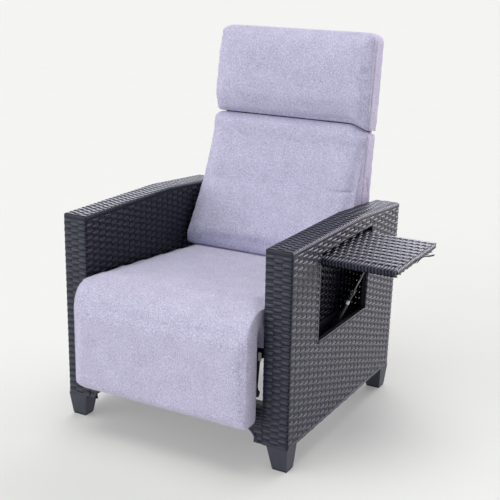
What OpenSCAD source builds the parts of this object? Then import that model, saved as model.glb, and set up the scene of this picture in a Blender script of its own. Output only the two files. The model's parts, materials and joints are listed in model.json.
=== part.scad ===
// Push-back reclining armchair for the garden: woven arms on tube frames, a seat that
// slides forward on swinging rockers, a reclining back, a lifting footrest and a side
// table that folds out of the right arm. X runs to the sitter's left, which is the side
// table's side, Y to the rear and Z up. Sub-parts are placed by their distance behind
// the arms' front faces and then moved so that the origin lies on the floor at the
// middle of the arms.

/* [Overall] */
// Width over both arms
overall_w = 700; // [660:5:760]
// Depth of an arm at its top
arm_depth = 700; // [690:5:740]
// Height of the arm's flat top
arm_top_z = 595; // [590:1:605]
// Height of the arm's top at its rear end
arm_rear_z = 573; // [570:1:590]
// Width of one arm
arm_w = 78; // [76:1:84]
// Distance behind the front where the arm's top starts to fall
arm_crest_y = 420; // [380:5:520]
// How far the arm's rear edge leans in at the bottom
arm_rake = 25; // [10:1:40]

/* [Feet] */
// Height of a foot with its glide
foot_h = 68; // [60:1:80]
// Thickness of the rubber glide
glide_t = 4; // [3:0.5:6]
// Width of a foot at the floor
foot_w = 43; // [36:1:46]
// Depth of a foot at the floor
foot_d = 37; // [30:1:42]

/* [Seat] */
// Height of the seat frame's top at its front end
seat_frame_z = 309; // [305:1:312]
// Fall of the seat towards the rear, in degrees
seat_slope = 4.3; // [3:0.1:5]
// Half the width of the seat and leg cushions
cushion_half_w = 262; // [255:1:264]
// Thickness of the seat cushion
seat_cushion_t = 125; // [115:1:128]
// Height of the footrest hinge
pole_z = 368; // [366:1:370]
// How far the leg cushion stands in front of the footrest hinge
leg_front = 75; // [68:1:80]
// Height of the leg cushion's bottom edge
leg_bottom_z = 116; // [110:1:140]

/* [Back] */
// Lean of the back at rest, in degrees
back_lean = 8.5; // [7:0.5:10]
// Distance behind the front where the back is hinged
back_pivot_y = 632; // [628:1:636]
// Height of the back hinge
back_pivot_z = 340; // [338:1:342]
// Length of the back above its hinge
back_len = 722; // [700:2:760]
// Half the width of the back cushions
back_half_w = 258; // [252:1:262]

/* [Side table] */
// Height of the table's top
tray_top_z = 539; // [538:0.5:540]
// Thickness of the table
tray_t = 20; // [18:1:20]
// Length of the table along the arm
tray_len = 302; // [290:1:302]
// Distance behind the front where the table starts
tray_front_y = 163; // [162:1:170]
// Reach of the table's outer edge from the middle of the chair
tray_edge_x = 552; // [540:1:552]

/* [Hidden] */
$fn = 48;

weave_grey = "#4b4f5c";
steel_black = "#232429";
steel_bright = "#8d9096";
fabric_lilac = "#bdb9c9";
webbing_black = "#1b1c20";
rubber_black = "#17181b";

// arms
half_w = overall_w / 2;
arm_in = half_w - arm_w;
weave_t = 4;
tube = 12;
frame_in = arm_in + weave_t;
frame_out = half_w - weave_t;

// side table recess in the right arm, as heights and distances behind the front
recess_sill_z = 309;
recess_lintel_z = 552;
recess_front_y = tray_front_y - 5;
recess_rear_low_y = 470;
recess_rear_high_y = 497;

// feet
foot_inset_side = 6;
foot_inset_end = 11;
foot_top_w = 60;
foot_top_d = 54;
rear_foot_y = 664;

// rails and mechanism
rail = 25;
front_rail_y = 100;
rear_rail_y = 640;
rail_z = 100;
plate_t = 5;
running_gap = 0.05;
pin_r = 5;
eye_r = 9;
bar_half = 7;
seat_travel = 80;
rocker_rise = 130.8;
rocker_x = 258;
rocker_t = 4;

// seat frame, with its origin at the front end of the frame's top
seat_y0 = 20;
seat_tube = 22;
seat_frame_len = 566;
seat_side_x = 250;
function seat_tube_z(y) = seat_frame_z - seat_tube / 2 - (y - seat_y0) * tan(seat_slope);
rocker_top_front = [250, seat_tube_z(250)];
rocker_top_rear = [560, seat_tube_z(560)];
rocker_step = [seat_travel / 2, rocker_rise];
rocker_base_front = rocker_top_front - rocker_step;
rocker_base_rear = rocker_top_rear - rocker_step;

// footrest linkage, as points behind the front and above the floor
pole = [0, pole_z];
brace_end = pole + [12, -98];
lift_pivot = [80, 282];
link_len = 110;

// footrest parts beside each other, from the middle of the chair outwards
lift_x = 217.5;
brace_x = 224;
link_t = 4;
lift_lug_x = brace_x + link_t;
footrest_lug_x = lift_lug_x + link_t;
footrest_lug_t = 6;
side_bar_x = 241;
side_bar_t = 6;
side_bar_low_z = 196;
board_half_w = 210;
board_y = -9.5;
board_t = 6;
// the knee of two equal links hangs on the lower side of the line between their ends
function knee(a, b, len) =
  let (d = norm(b - a), u = (b - a) / d, h = sqrt(len * len - d * d / 4))
  (a + b) / 2 + h * [-u[1], u[0]];
link_knee = knee(lift_pivot, brace_end, link_len);

// webbing under the seat cushion
strap_count = 7;
strap_y0 = 36;
strap_pitch = 74;
strap_w = 54;
strap_t = 2.5;

// back
back_lug_x = 243;
back_lug_t = 5;
back_tube_r = 11;
back_tube_x = 230;
back_frame_top = 690;
sleeve_half_w = 246;
sleeve_half_t = 15;
crease_z = 455;

// side table and its strut
tray_x0 = 324;
tray_axis_x = 340;
tray_skin = 4;
tray_rod_r = 4;
strut_y = 339;
strut_foot = [322, 303];
strut_top = [417, 512];
strut_len = norm(strut_top - strut_foot);
strut_lean = atan2(strut_top[0] - strut_foot[0], strut_top[1] - strut_foot[1]);
strut_plate_y = strut_y + 4.5;
strut_plate_t = 3;
tab_hinge = [555.5, 526];
tab_y0 = 302;
tab_w = 16;
tab_rise = 24;
tab_len = 50;

// ---- placing helpers ----

// moves the origin from the arms' front faces to the middle of the arms
module chair() translate([0, -arm_depth / 2, 0]) children();

// the right side as drawn, the left side mirrored
module on_side(side) chair() mirror([side < 0 ? 1 : 0, 0, 0]) children();

module both_sides() {
  on_side(1) children();
  on_side(-1) children();
}

// draws an outline given behind the front and above the floor, thick along X
module plate_yz(x0, thick) translate([x0, 0, 0]) rotate([90, 0, 90]) linear_extrude(thick) children();

module rod_x(x0, x1, r, at) translate([x0, at[0], at[1]]) rotate([0, 90, 0]) cylinder(r = r, h = x1 - x0);

module rod_y(y0, y1, r, at) translate([at[0], y0, at[1]]) rotate([-90, 0, 0]) cylinder(r = r, h = y1 - y0);

module box(lo, hi) translate(lo) cube(hi - lo);

// flat bar with an eye at each end and a bore through each eye
module link(x0, thick, a, b) {
  len = norm(b - a);
  translate([x0, a[0], a[1]]) rotate([atan2(b[1] - a[1], b[0] - a[0]), 0, 0]) difference() {
    union() {
      rod_x(0, thick, eye_r, [0, 0]);
      rod_x(0, thick, eye_r, [len, 0]);
      box([0, 0, -bar_half], [thick, len, bar_half]);
    }
    rod_x(-1, thick + 1, pin_r + running_gap, [0, 0]);
    rod_x(-1, thick + 1, pin_r + running_gap, [len, 0]);
  }
}

// pin along X with a flat head at its low-X end
module headed_pin(x0, x1, at, head_t = 2) {
  rod_x(x0, x1, pin_r, at);
  rod_x(x0, x0 + head_t, eye_r - 1, at);
}

module in_seat() translate([0, seat_y0, seat_frame_z]) rotate([-seat_slope, 0, 0]) children();

module in_back() translate([0, back_pivot_y, back_pivot_z]) rotate([-back_lean, 0, 0]) children();

module in_strut() translate([strut_foot[0], strut_y, strut_foot[1]]) rotate([0, strut_lean, 0]) children();

// ---- arms and feet ----

function arm_outline(inset, bottom) = [[inset, bottom], [inset, arm_top_z - inset],
  [arm_crest_y, arm_top_z - inset], [arm_depth - inset, arm_rear_z - inset],
  [arm_depth - arm_rake - inset, bottom]];

module recess_outline() polygon([[recess_front_y, recess_sill_z], [recess_front_y, recess_lintel_z],
  [recess_rear_high_y, recess_lintel_z], [recess_rear_low_y, recess_sill_z]]);

module arm_weave(side) on_side(side) color(weave_grey) difference() {
  plate_yz(arm_in, arm_w) polygon(arm_outline(0, foot_h));
  plate_yz(frame_in, arm_w - 2 * weave_t) polygon(arm_outline(weave_t, foot_h - 1));
  if (side > 0) plate_yz(frame_out - 1, weave_t + 2) recess_outline();
}

module arm_ring(x0) plate_yz(x0, tube) difference() {
  polygon(arm_outline(weave_t, foot_h));
  polygon(arm_outline(weave_t + tube, foot_h + tube));
}

module arm_frame(side) on_side(side) color(steel_black) {
  arm_ring(frame_in);
  arm_ring(frame_out - tube);
  // cross tubes at the corners, at [distance behind the front, height]
  rear_low_y = arm_depth - arm_rake - weave_t - tube;
  rear_top_y = arm_depth - weave_t - tube - 2;
  for (at = [[weave_t, foot_h], [weave_t, arm_top_z - weave_t - tube],
    [arm_crest_y - tube, arm_top_z - weave_t - tube],
    [rear_top_y, arm_rear_z - weave_t - tube], [rear_low_y, foot_h]])
    box([frame_in + tube, at[0], at[1]], [frame_out - tube, at[0] + tube, at[1] + tube]);
  if (side > 0) recess_frame();
}

// tubes round the side table's recess, bored for the table's hinge rod
module recess_frame() difference() {
  plate_yz(frame_out - tube, tube) {
    translate([weave_t + tube - 1, recess_lintel_z]) square([670, tube]);
    translate([weave_t + tube - 1, recess_sill_z - tube]) square([656, tube]);
    translate([recess_front_y - tube, recess_sill_z]) square([tube, recess_lintel_z - recess_sill_z]);
    polygon([[recess_rear_low_y, recess_sill_z], [recess_rear_low_y + tube, recess_sill_z],
      [recess_rear_high_y + tube, recess_lintel_z], [recess_rear_high_y, recess_lintel_z]]);
  }
  rod_y(recess_front_y - tube - 1, recess_rear_high_y + tube + 1, tray_rod_r + running_gap,
    [tray_axis_x, tray_top_z - tray_t / 2]);
}

// lowest corners of a foot's sole on the right side
function sole_lo(rear) = [half_w - foot_inset_side - foot_w, rear ? rear_foot_y - foot_d : foot_inset_end, 0];

module foot(side, rear) on_side(side) color(steel_black) {
  lo = sole_lo(rear);
  top_y = rear ? rear_foot_y + foot_inset_end - foot_top_d - 1 : 1;
  hull() {
    translate([lo[0], lo[1], glide_t]) cube([foot_w, foot_d, 1]);
    translate([half_w - 1 - foot_top_w, top_y, foot_h - 1]) cube([foot_top_w, foot_top_d, 1]);
  }
}

module glide(side, rear) on_side(side) color(rubber_black)
  translate(sole_lo(rear) + [1, 1, 0]) cube([foot_w - 2, foot_d - 2, glide_t]);

// ---- fixed rails, apron and mechanism plates ----

// low woven panel between the arms, its bottom edge arched up in the middle
module front_apron() chair() color(weave_grey) translate([0, 6, 0]) rotate([90, 0, 0]) linear_extrude(6)
  difference() {
    translate([-arm_in, foot_h]) square([2 * arm_in, 97]);
    translate([-arm_in + 47, 0]) square([2 * arm_in - 94, 108]);
    for (s = [-1, 1]) translate([s * (arm_in - 47), 46]) scale([0.62, 1]) circle(r = 62, $fn = 64);
  }

module cross_rail(y0) chair() color(steel_black) {
  box([-arm_in, y0, rail_z], [arm_in, y0 + rail, rail_z + rail]);
  for (x = [-arm_in, arm_in - 6]) box([x, y0 - 12, rail_z - 12], [x + 6, y0 + rail + 12, rail_z + rail + 12]);
}

module side_plate(side) on_side(side) color(steel_black) difference() {
  plate_yz(arm_in - plate_t, plate_t)
    polygon([[165, 112], [165, 185], [255, 185], [480, 162], [565, 162], [565, 96], [480, 96]]);
  rod_x(arm_in - plate_t - 1, arm_in + 1, pin_r, rocker_base_front);
  rod_x(arm_in - plate_t - 1, arm_in + 1, pin_r, rocker_base_rear);
}

module side_plate_bolts() both_sides() color(steel_bright)
  for (at = [[180, 172], [240, 170], [350, 155], [455, 150], [550, 150]])
    rod_x(arm_in - plate_t - 4, arm_in - plate_t, 6, at);

// ---- rockers that carry the seat ----

module rocker_base_pins() both_sides() color(steel_bright)
  for (at = [rocker_base_front, rocker_base_rear]) headed_pin(rocker_x - 3, arm_in - plate_t, at);

module rocker(side, base, top) on_side(side) color(steel_black) link(rocker_x, rocker_t, base, top);

module rocker_torque_tube() chair() color(steel_black)
  rod_x(-rocker_x, rocker_x, 8, (rocker_base_front + rocker_top_front) / 2);

module rocker_seat_pins() both_sides() color(steel_bright)
  for (at = [rocker_top_front, rocker_top_rear]) {
    rod_x(seat_side_x, rocker_x + rocker_t + 3, pin_r, at);
    rod_x(rocker_x + rocker_t + 0.5, rocker_x + rocker_t + 2.5, eye_r - 1, at);
  }

// ---- seat ----

module seat_frame() chair() color(steel_black) {
  in_seat() {
    for (x = [-seat_side_x, seat_side_x - seat_tube])
      box([x, 4, -seat_tube], [x + seat_tube, seat_frame_len, 0]);
    for (y = [4, seat_frame_len - seat_tube])
      box([-seat_side_x, y, -seat_tube], [seat_side_x, y + seat_tube, 0]);
  }
  for (side = [0, 1]) mirror([side, 0, 0]) {
    footrest_lug();
    lift_lug();
    back_lug();
  }
}

// carries the footrest hinge in front of and above the front tube
module footrest_lug() difference() {
  union() {
    plate_yz(footrest_lug_x, footrest_lug_t)
      polygon([[-8, 364], [8, 371], [22, 306], [27, 303], [27, 291], [14, 291]]);
    rod_x(footrest_lug_x, footrest_lug_x + footrest_lug_t, eye_r, pole);
  }
  rod_x(footrest_lug_x - 1, footrest_lug_x + footrest_lug_t + 1, pin_r + running_gap, pole);
}

module lift_lug() {
  plate_yz(lift_lug_x, link_t) polygon([[64, 289], [98, 287], [90, 275], [70, 275]]);
  rod_x(lift_lug_x, lift_lug_x + link_t, eye_r, lift_pivot);
}

// reaches up behind the seat cushion to the back's hinge
module back_lug() difference() {
  union() {
    plate_yz(back_lug_x, back_lug_t)
      polygon([[556, 262], [602, 262], [622, 338], [641, 338], [620, 246], [556, 246]]);
    rod_x(back_lug_x, back_lug_x + back_lug_t, eye_r, [back_pivot_y, back_pivot_z]);
  }
  rod_x(back_lug_x - 1, back_lug_x + back_lug_t + 1, pin_r + running_gap, [back_pivot_y, back_pivot_z]);
}

module seat_webbing() chair() color(webbing_black) in_seat()
  for (i = [0:strap_count - 1]) translate([-seat_side_x, strap_y0 + i * strap_pitch, 0])
    cube([2 * seat_side_x, strap_w, strap_t]);

module lift_link_pins() both_sides() color(steel_bright) headed_pin(lift_x - 3, lift_lug_x, lift_pivot);

module footrest_hinge_pins() both_sides() color(steel_bright)
  headed_pin(lift_lug_x, side_bar_x + side_bar_t + 1, pole);

module back_hinge_pins() both_sides() color(steel_bright) {
  head_x = back_lug_x + back_lug_t + 1;
  rod_x(back_tube_x - 14, head_x + 3, pin_r, [back_pivot_y, back_pivot_z]);
  rod_x(head_x, head_x + 3, eye_r, [back_pivot_y, back_pivot_z]);
}

module rounded(r) offset(r = r) offset(delta = -r) children();

module seat_cushion() chair() color(fabric_lilac) in_seat()
  plate_yz(-cushion_half_w, 2 * cushion_half_w) rounded(12)
    polygon([[5, 3], [5, seat_cushion_t], [572, seat_cushion_t], [572, 3]]);

// foam that rolls over the seat's front edge, between the seat and leg cushions
module cushion_nose() chair() color(fabric_lilac) plate_yz(-cushion_half_w, 2 * cushion_half_w)
  difference() {
    union() {
      translate(pole) scale([leg_front, 69]) circle(r = 1, $fn = 96);
      translate([0, pole_z]) square([32, 67]);
    }
    translate(pole) circle(r = 14);
    translate([-100, pole_z - 100]) square([200, 100.3]);
    translate([0, pole_z - 1]) square([60, 15]);
    polygon([[24, 380], [31, 440], [90, 440], [90, 360], [24, 360]]);
  }

module care_label() chair() color("white") box([250, 19, 288], [259, 20, 311]);

// ---- footrest and its linkage ----

module lift_link(side) on_side(side) color(steel_black) link(lift_x, link_t, lift_pivot, link_knee);

module brace_joint_pins() both_sides() color(steel_bright)
  headed_pin(lift_x - 3, brace_x + link_t, link_knee);

module brace_link(side) on_side(side) color(steel_black) link(brace_x, link_t, brace_end, link_knee);

// they stop a little short of the footrest's side bars
module brace_end_pins() both_sides() color(steel_bright) headed_pin(brace_x - 2, side_bar_x - 0.6, brace_end);

module footrest_frame() chair() color(steel_black) {
  for (side = [0, 1]) mirror([side, 0, 0]) difference() {
    union() {
      translate([side_bar_x, board_y + board_t, side_bar_low_z])
        cube([side_bar_t, 12, pole_z - side_bar_low_z]);
      rod_x(side_bar_x, side_bar_x + side_bar_t, eye_r, pole);
      rod_x(side_bar_x, side_bar_x + side_bar_t, eye_r, brace_end);
    }
    rod_x(side_bar_x - 1, side_bar_x + side_bar_t + 1, pin_r + running_gap, pole);
    rod_x(side_bar_x - 1, side_bar_x + side_bar_t + 1, pin_r + running_gap, brace_end);
  }
  rod_x(-side_bar_x, side_bar_x, 6, [2.5, side_bar_low_z + 10]);
}

module footrest_board() chair() color("#3a3532") translate([-board_half_w, board_y, 190])
  cube([2 * board_half_w, board_t, 150]);

module leg_cushion() chair() color(fabric_lilac) plate_yz(-cushion_half_w, 2 * cushion_half_w)
  rounded(9) polygon([[-leg_front, leg_bottom_z + 22], [-leg_front, pole_z - 0.5], [-10, pole_z - 0.5],
    [-10, leg_bottom_z + 12], [-22, leg_bottom_z], [-leg_front + 20, leg_bottom_z]]);

// ---- back ----

module back_frame() chair() color(steel_black) in_back() difference() {
  union() {
    for (x = [-back_tube_x, back_tube_x]) {
      translate([x, 0, -30]) cylinder(r = back_tube_r, h = back_frame_top + 30);
      translate([x, 0, back_frame_top]) sphere(r = back_tube_r);
    }
    for (z = [70, 380, back_frame_top]) rod_x(-back_tube_x, back_tube_x, back_tube_r, [0, z]);
  }
  for (x = [-back_tube_x, back_tube_x]) rod_x(x - 15, x + 15, pin_r + running_gap, [0, 0]);
}

// woven sleeve over the back frame, open at the bottom
module back_weave() chair() color(weave_grey) in_back() difference() {
  box([-sleeve_half_w, -sleeve_half_t, 40], [sleeve_half_w, sleeve_half_t, back_frame_top + 15]);
  box([-sleeve_half_w + weave_t, -back_tube_r, 39],
    [sleeve_half_w - weave_t, back_tube_r, back_frame_top + back_tube_r + 0.5]);
}

// a back cushion: an outline that is cut to wrap round the sleeve's sides
module wrap_cushion(sleeve_top) difference() {
  plate_yz(-back_half_w, 2 * back_half_w) children();
  box([-sleeve_half_w - 0.5, -sleeve_half_t - 0.5, -1], [sleeve_half_w + 0.5, 40, sleeve_top]);
}

module back_cushion() chair() color(fabric_lilac) in_back() wrap_cushion(crease_z + 1) rounded(8)
  polygon([[14, 54], [14, crease_z], [-48, crease_z], [-64, 440], [-64, 385], [-96, 249],
    [-150, 112], [-166, 78], [-163, 52], [-150, 41]]);

module head_cushion() chair() color(fabric_lilac) in_back() wrap_cushion(back_frame_top + 15.5) rounded(8)
  polygon([[14, crease_z + 2], [14, back_len - 12], [0, back_len], [-44, back_len], [-62, back_len - 14],
    [-72, 640], [-70, 520], [-54, 472], [-44, crease_z + 2]]);

// ---- side table recess ----

module recess_rail() chair() color(steel_black) box([frame_in, 150, 240], [frame_in + 3, 452, 301]);

module recess_plate() chair() color(steel_bright) box([frame_in, 455, 246], [frame_in + 3, 610, 280]);

module recess_bolts() chair() color(steel_bright)
  for (at = [[200, 270], [361, 268], [402, 281], [402, 256]]) rod_x(frame_in + 3, frame_in + 7, 5, at);

module tray_bushes() chair() color(rubber_black) difference() {
  axis = [tray_axis_x, tray_top_z - tray_t / 2];
  union() {
    rod_y(recess_front_y + 0.3, tray_front_y - 0.3, 8, axis);
    rod_y(tray_front_y + tray_len + 0.3, recess_rear_low_y + 23, 8, axis);
  }
  rod_y(0, arm_depth, tray_rod_r + running_gap, axis);
}

// ---- strut ----

module strut_bracket_arm() chair() color(steel_black) {
  box([strut_foot[0] - 8, strut_plate_y, recess_sill_z - 14],
    [frame_out - tube, strut_plate_y + strut_plate_t, recess_sill_z]);
  rod_y(strut_y - 3, strut_plate_y, 3, strut_foot);
}

module strut_cylinder() chair() color(steel_black) in_strut() difference() {
  union() {
    rod_y(-2.5, 2.5, 6, [0, 0]);
    cylinder(r = 4.5, h = 108);
  }
  rod_y(-6, 6, 3 + running_gap, [0, 0]);
  for (y = [-12, 2.5]) box([-7, y, -7], [7, y + 9.5, 6]);
  translate([0, 0, 12.5]) cylinder(r = 2.7, h = 100);
}

module strut_latch() chair() color(steel_black) in_strut() difference() {
  union() {
    translate([0, 0, 98]) cylinder(r = 6.2, h = 7);
    box([-2, -16, 103], [2, -4, 105]);
  }
  translate([0, 0, 97]) cylinder(r = 4.5, h = 9);
}

module strut_band() chair() color("white") in_strut() translate([0, 0, 66]) difference() {
  cylinder(r = 4.9, h = 12);
  translate([0, 0, -1]) cylinder(r = 4.5, h = 14);
}

module strut_rod() chair() color(steel_bright) in_strut() {
  translate([0, 0, 95]) cylinder(r = 2.6, h = strut_len - 99);
  rod_y(-2.5, 2.5, 5, [0, strut_len]);
  rod_y(2, 4, 3, [0, strut_len]);
}

// ---- side table ----

module tray_weave() chair() color(weave_grey) difference() {
  lo = [tray_x0, tray_front_y, tray_top_z - tray_t];
  hi = [tray_edge_x, tray_front_y + tray_len, tray_top_z];
  skin = [tray_skin, tray_skin, tray_skin];
  box(lo, hi);
  box(lo + skin, hi - skin);
  rod_y(lo[1] - 1, hi[1] + 1, tray_rod_r + 0.1, [tray_axis_x, tray_top_z - tray_t / 2]);
  // slot in the underside for the strut's end
  box([372, strut_y - 6, lo[2] - 1], [430, strut_y + 4.3, lo[2] + tray_skin + 1]);
}

module tray_frame() chair() color(steel_black) difference() {
  lo = [tray_x0 + tray_skin, tray_front_y + tray_skin, tray_top_z - tray_t + tray_skin];
  hi = [tray_edge_x - tray_skin, tray_front_y + tray_len - tray_skin, tray_top_z - tray_skin];
  box(lo, hi);
  box([350, lo[1] + tube, lo[2] - 1], [hi[0] - tube, 250, hi[2] + 1]);
  box([350, 262, lo[2] - 1], [hi[0] - tube, 366, hi[2] + 1]);
  box([350, 378, lo[2] - 1], [hi[0] - tube, hi[1] - tube, hi[2] + 1]);
  rod_y(lo[1] - 1, hi[1] + 1, tray_rod_r + 0.02, [tray_axis_x, tray_top_z - tray_t / 2]);
}

module tray_hinge_rod() chair() color(steel_bright)
  rod_y(recess_front_y - 10, recess_rear_high_y + 5, tray_rod_r, [tray_axis_x, tray_top_z - tray_t / 2]);

module strut_bracket_tray() chair() color(steel_black)
  box([strut_top[0] - 12, strut_plate_y, strut_top[1] - 9],
    [strut_top[0] + 12, strut_plate_y + strut_plate_t, tray_top_z - tray_t]);

// webbing tab that hangs from the table's outer edge, with the barrel it turns on
module pull_tab() chair() color(webbing_black) translate([tab_hinge[0], tab_y0, tab_hinge[1]]) {
  rod_y(0, tab_w, 1.8, [0, 0]);
  rotate([0, -tab_rise, 0]) box([0, 1, -0.8], [tab_len, tab_w - 1, 0.8]);
}

arm_weave(-1);  // arm_weave_left
arm_weave(1);  // arm_weave_right
arm_frame(-1);  // arm_frame_left
arm_frame(1);  // arm_frame_right
foot(-1, false);  // foot_front_left
foot(1, false);  // foot_front_right
foot(-1, true);  // foot_rear_left
foot(1, true);  // foot_rear_right
glide(-1, false);  // glide_front_left
glide(1, false);  // glide_front_right
glide(-1, true);  // glide_rear_left
glide(1, true);  // glide_rear_right
front_apron();
cross_rail(front_rail_y);  // front_rail
cross_rail(rear_rail_y);  // rear_rail
side_plate(-1);  // side_plate_left
side_plate(1);  // side_plate_right
side_plate_bolts();
rocker_base_pins();
rocker(-1, rocker_base_front, rocker_top_front);  // rocker_front_left
rocker(1, rocker_base_front, rocker_top_front);  // rocker_front_right
rocker_torque_tube();
rocker(-1, rocker_base_rear, rocker_top_rear);  // rocker_rear_left
rocker(1, rocker_base_rear, rocker_top_rear);  // rocker_rear_right
seat_frame();
seat_webbing();
rocker_seat_pins();
lift_link_pins();
footrest_hinge_pins();
back_hinge_pins();
seat_cushion();
cushion_nose();
care_label();
lift_link(-1);  // lift_link_left
lift_link(1);  // lift_link_right
brace_joint_pins();
brace_link(-1);  // brace_link_left
brace_link(1);  // brace_link_right
brace_end_pins();
footrest_frame();
footrest_board();
leg_cushion();
back_frame();
back_weave();
back_cushion();
head_cushion();
recess_rail();
recess_plate();
recess_bolts();
tray_bushes();
strut_bracket_arm();
strut_cylinder();
strut_latch();
strut_band();
strut_rod();
tray_weave();
tray_frame();
tray_hinge_rod();
strut_bracket_tray();
pull_tab();
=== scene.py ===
"""Looks for the push-back reclining garden armchair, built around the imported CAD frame.

Everything is in metres in the CAD's frame: the origin on the floor at the middle of the arms,
+X towards the arm with the side table, +Y to the rear and +Z up.
"""
import json
import math

import bpy
import numpy as np
from mathutils import Matrix, Vector
from mathutils.bvhtree import BVHTree


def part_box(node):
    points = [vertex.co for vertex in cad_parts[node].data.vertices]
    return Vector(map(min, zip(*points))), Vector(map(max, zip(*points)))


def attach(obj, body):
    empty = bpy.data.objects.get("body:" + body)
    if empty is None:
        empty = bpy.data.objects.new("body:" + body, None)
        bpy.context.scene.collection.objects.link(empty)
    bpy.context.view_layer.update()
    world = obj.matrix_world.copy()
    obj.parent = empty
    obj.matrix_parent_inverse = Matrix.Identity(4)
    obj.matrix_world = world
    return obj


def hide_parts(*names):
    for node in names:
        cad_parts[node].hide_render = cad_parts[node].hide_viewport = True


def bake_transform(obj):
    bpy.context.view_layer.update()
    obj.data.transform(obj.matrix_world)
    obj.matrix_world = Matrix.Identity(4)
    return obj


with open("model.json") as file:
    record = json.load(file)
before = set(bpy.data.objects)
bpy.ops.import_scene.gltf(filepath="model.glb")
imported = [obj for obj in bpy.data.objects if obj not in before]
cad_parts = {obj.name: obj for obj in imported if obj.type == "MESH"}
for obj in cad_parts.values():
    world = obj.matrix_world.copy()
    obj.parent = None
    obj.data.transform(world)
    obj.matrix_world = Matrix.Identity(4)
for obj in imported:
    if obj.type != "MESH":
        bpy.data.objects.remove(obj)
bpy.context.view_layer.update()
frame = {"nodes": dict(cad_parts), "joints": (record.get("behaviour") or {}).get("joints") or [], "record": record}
NODES = frame["nodes"]
JOINTS = {joint["name"]: joint for joint in frame["joints"]}

# ---- measures from the frame ----

arm_lo, arm_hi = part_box("arm_weave_right")
ARM_IN, ARM_OUT = arm_lo.x, arm_hi.x
FRONT, BACK = arm_lo.y, arm_hi.y
ARM_BOTTOM, ARM_TOP = arm_lo.z, arm_hi.z
CREST_Y = FRONT + 0.420
REAR_TOP = ARM_TOP - 0.022
RAKE = 0.025
tray_lo, tray_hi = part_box("tray_weave")
RECESS_FRONT = tray_lo.y - 0.005
RECESS_SILL, RECESS_LINTEL = ARM_TOP - 0.286, ARM_TOP - 0.043
RECESS_REAR_LOW, RECESS_REAR_HIGH = FRONT + 0.470, FRONT + 0.497
pole = Vector(JOINTS["footrest_lift"]["pos_m"])
back_pivot = Vector(JOINTS["back_recline"]["pos_m"])
BACK_LEAN = math.radians(8.5)
SEAT_SLOPE = math.radians(4.3)

# the weave's own measures
ROW = 0.0089            # from one strand to the next
STAKE = 0.028           # from one upright to the next
STAKE_HALF_W = 0.0122
STRAND_T = 0.0012
RELIEF = 0.0010         # how far a strand stands out over a stake
DIVE = 1.7              # how much deeper than that it goes behind one
FLARE = 0.0009          # how far a strand's lower edge stands out over a stake
SKIN = 0.0018           # the weave's middle, under the CAD's face
BENDS = np.array([0.0, 0.14, 0.5, 0.86])    # a strand's points, by share of the way from gap to gap


# ---- materials ----

def srgb(*values):
    """Linear colour of an sRGB one given from 0 to 255."""
    return tuple((v / 255 / 12.92) if v < 10.3 else ((v / 255 + 0.055) / 1.055) ** 2.4 for v in values)


def add(tree, kind, settings=None, **inputs):
    """A shader node with its settings and its inputs, each a number, a colour or another node's socket.

    An input is named with _ for each space, or as i and its number.
    """
    made = tree.nodes.new("ShaderNode" + kind)
    for name, value in (settings or {}).items():
        setattr(made, name, value)
    for name, value in inputs.items():
        numbered = name[0] == "i" and name[1:].isdigit()
        socket = made.inputs[int(name[1:]) if numbered else name.replace("_", " ")]
        if isinstance(value, bpy.types.NodeSocket):
            tree.links.new(value, socket)
        else:
            socket.default_value = value
    return made


def start_material(name, roughness, metallic=0.0, specular=0.5):
    made = bpy.data.materials.new(name)
    made.use_nodes = True
    shader = made.node_tree.nodes["Principled BSDF"]
    shader.inputs["Roughness"].default_value = roughness
    shader.inputs["Metallic"].default_value = metallic
    shader.inputs["Specular IOR Level"].default_value = specular
    return made, made.node_tree, shader


def ramp(tree, factor, dark, light, low=0.3, high=0.7):
    """A blend between two colours, as factor goes from low to high."""
    made = add(tree, "ValToRGB", Fac=factor)
    made.color_ramp.elements[0].position, made.color_ramp.elements[1].position = low, high
    made.color_ramp.elements[0].color, made.color_ramp.elements[1].color = (*dark, 1), (*light, 1)
    return made.outputs["Color"]


def noise(tree, vector, scale, detail=2.0, rough=0.5):
    return add(tree, "TexNoise", Vector=vector, Scale=scale, Detail=detail, Roughness=rough).outputs["Fac"]


def stretched(tree, vector, scale):
    return add(tree, "Mapping", Vector=vector, Scale=scale).outputs["Vector"]


def set_bump(tree, shader, height, distance, strength=1.0):
    bump = add(tree, "Bump", Height=height, Distance=distance, Strength=strength)
    tree.links.new(bump.outputs["Normal"], shader.inputs["Normal"])


def math_node(tree, operation, a, b=0.0):
    return add(tree, "Math", {"operation": operation}, i0=a, i1=b).outputs["Value"]


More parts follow.
